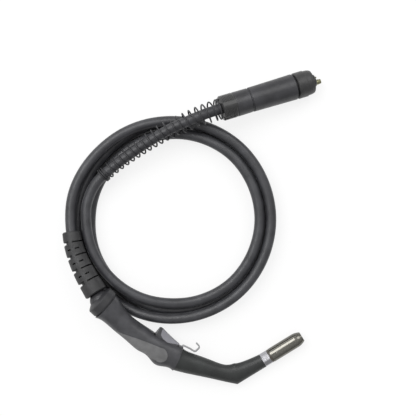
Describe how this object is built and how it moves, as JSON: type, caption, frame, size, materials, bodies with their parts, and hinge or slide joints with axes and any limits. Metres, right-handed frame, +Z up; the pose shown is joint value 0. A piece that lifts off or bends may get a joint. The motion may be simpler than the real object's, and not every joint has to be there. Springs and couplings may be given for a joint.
{
  "type": "mig welding torch",
  "caption": "MIG welding torch with moulded handle, sprung trigger, swan neck and gas nozzle, on a ball joint and a coiled lead that ends in a central plug with a hand nut",
  "frame": {"origin": "on the bench, under the middle of the torch itself: its handle, neck and nozzle, without the lead and plug", "axes": "+X to the right in the picture, along the torch's longest side; +Y up the picture, towards the coil; +Z up from the bench"},
  "size_m": [0.3922, 0.4787, 0.0663],
  "materials": {
    "lead_rubber": "satin black rubber",
    "handle_plastic": "fine-grained black moulding",
    "inlay_rubber": "matt mid-grey soft grip",
    "trigger_plastic": "matt black moulding",
    "pad_plastic": "matt lilac-grey finger pad",
    "switch_plastic": "black",
    "steel": "plain bright steel",
    "hook_steel": "bright plated strip",
    "neck_plastic": "smooth black sleeve",
    "copper": "bare copper",
    "brass": "turned brass",
    "ball_plastic": "smooth black moulding",
    "nut_chrome": "polished",
    "insulator_plastic": "dark insulating plastic",
    "nozzle_metal": "brushed, dark",
    "spring_steel": "dark sprung wire",
    "bushing_plastic": "shiny ribbed black moulding",
    "plug_plastic": "matt black moulding",
    "nut_plastic": "matt black moulding"
  },
  "bodies": {
    "lead": {"cable_coil": "lead_rubber", "cable_tail": "lead_rubber", "lead_end": "lead_rubber", "bend_relief": "lead_rubber", "cable_core": "copper", "swivel_ball": "ball_plastic", "guard_spring": "spring_steel", "guard_bushing": "bushing_plastic", "rear_collar": "plug_plastic", "plug_housing": "plug_plastic", "plug_screw": "steel", "snap_ring": "steel", "plug_terminal": "brass", "wire_tube": "brass", "contact_holder": "plug_plastic"},
    "ball_collar": {"ball_collar": "ball_plastic"},
    "handle": {"handle_shell_left": "handle_plastic", "handle_shell_right": "handle_plastic", "inlay_left": "inlay_rubber", "inlay_right": "inlay_rubber", "handle_screws": "steel", "trigger_pin": "steel", "switch_body": "switch_plastic", "switch_leads": "switch_plastic", "hanging_hook": "hook_steel", "neck_cover": "neck_plastic", "neck_tube": "copper", "wire_liner": "steel", "cable_block": "brass", "handle_core": "copper", "ring_nut": "nut_chrome", "insulator": "insulator_plastic", "gas_diffuser": "brass", "contact_tip": "copper"},
    "trigger": {"trigger_lever": "trigger_plastic", "trigger_pad": "pad_plastic", "trigger_spring": "steel"},
    "switch_plunger": {"switch_plunger": "switch_plastic"},
    "nozzle": {"gas_nozzle": "nozzle_metal"},
    "union_nut": {"union_nut": "nut_plastic"},
    "contact_upper": {"contact_pin_upper": "brass"},
    "contact_lower": {"contact_pin_lower": "brass"}
  },
  "joints": [
    {"name": "handle_tilt", "type": "hinge", "parent": "lead", "child": "ball_collar", "pos_m": [-0.1453, 0.0563, 0.042], "axis": [-0.6861, -0.726, -0.0456], "range_deg": [0, 30]},
    {"name": "handle_swivel", "type": "hinge", "parent": "ball_collar", "child": "handle", "pos_m": [-0.1453, 0.0563, 0.042], "axis": [0.7237, -0.6748, -0.1445], "range_deg": [-90, 90]},
    {"name": "trigger_press", "type": "hinge", "parent": "handle", "child": "trigger", "pos_m": [-0.03822, -0.01623, 0.02428], "axis": [0.0741, -0.1321, 0.9885], "range_deg": [0, 7], "stiffness_Nm_per_rad": 0.5, "springref_deg": -14.32},
    {"name": "plunger_press", "type": "slide", "parent": "handle", "child": "switch_plunger", "axis": [-0.6861, -0.726, -0.0456], "range_m": [0, 0.0025]},
    {"name": "nozzle_pull", "type": "slide", "parent": "handle", "child": "nozzle", "axis": [0.8519, 0.5237, 0.0061], "range_m": [0, 0.035]},
    {"name": "union_nut_turn", "type": "hinge", "parent": "lead", "child": "union_nut", "pos_m": [0.15539, 0.38204, 0.02108], "axis": [0.933, 0.2996, -0.1994], "continuous": true},
    {"name": "contact_upper_press", "type": "slide", "parent": "lead", "child": "contact_upper", "axis": [-0.933, -0.2996, 0.1994], "range_m": [0, 0.002], "stiffness_N_per_m": 500, "springref_m": -0.002},
    {"name": "contact_lower_press", "type": "slide", "parent": "lead", "child": "contact_lower", "axis": [-0.933, -0.2996, 0.1994], "range_m": [0, 0.002], "stiffness_N_per_m": 500, "springref_m": -0.002}
  ],
  "couplings": [
    {"joint": "plunger_press", "follows": "trigger_press", "m_per_rad": 0.019}
  ]
}
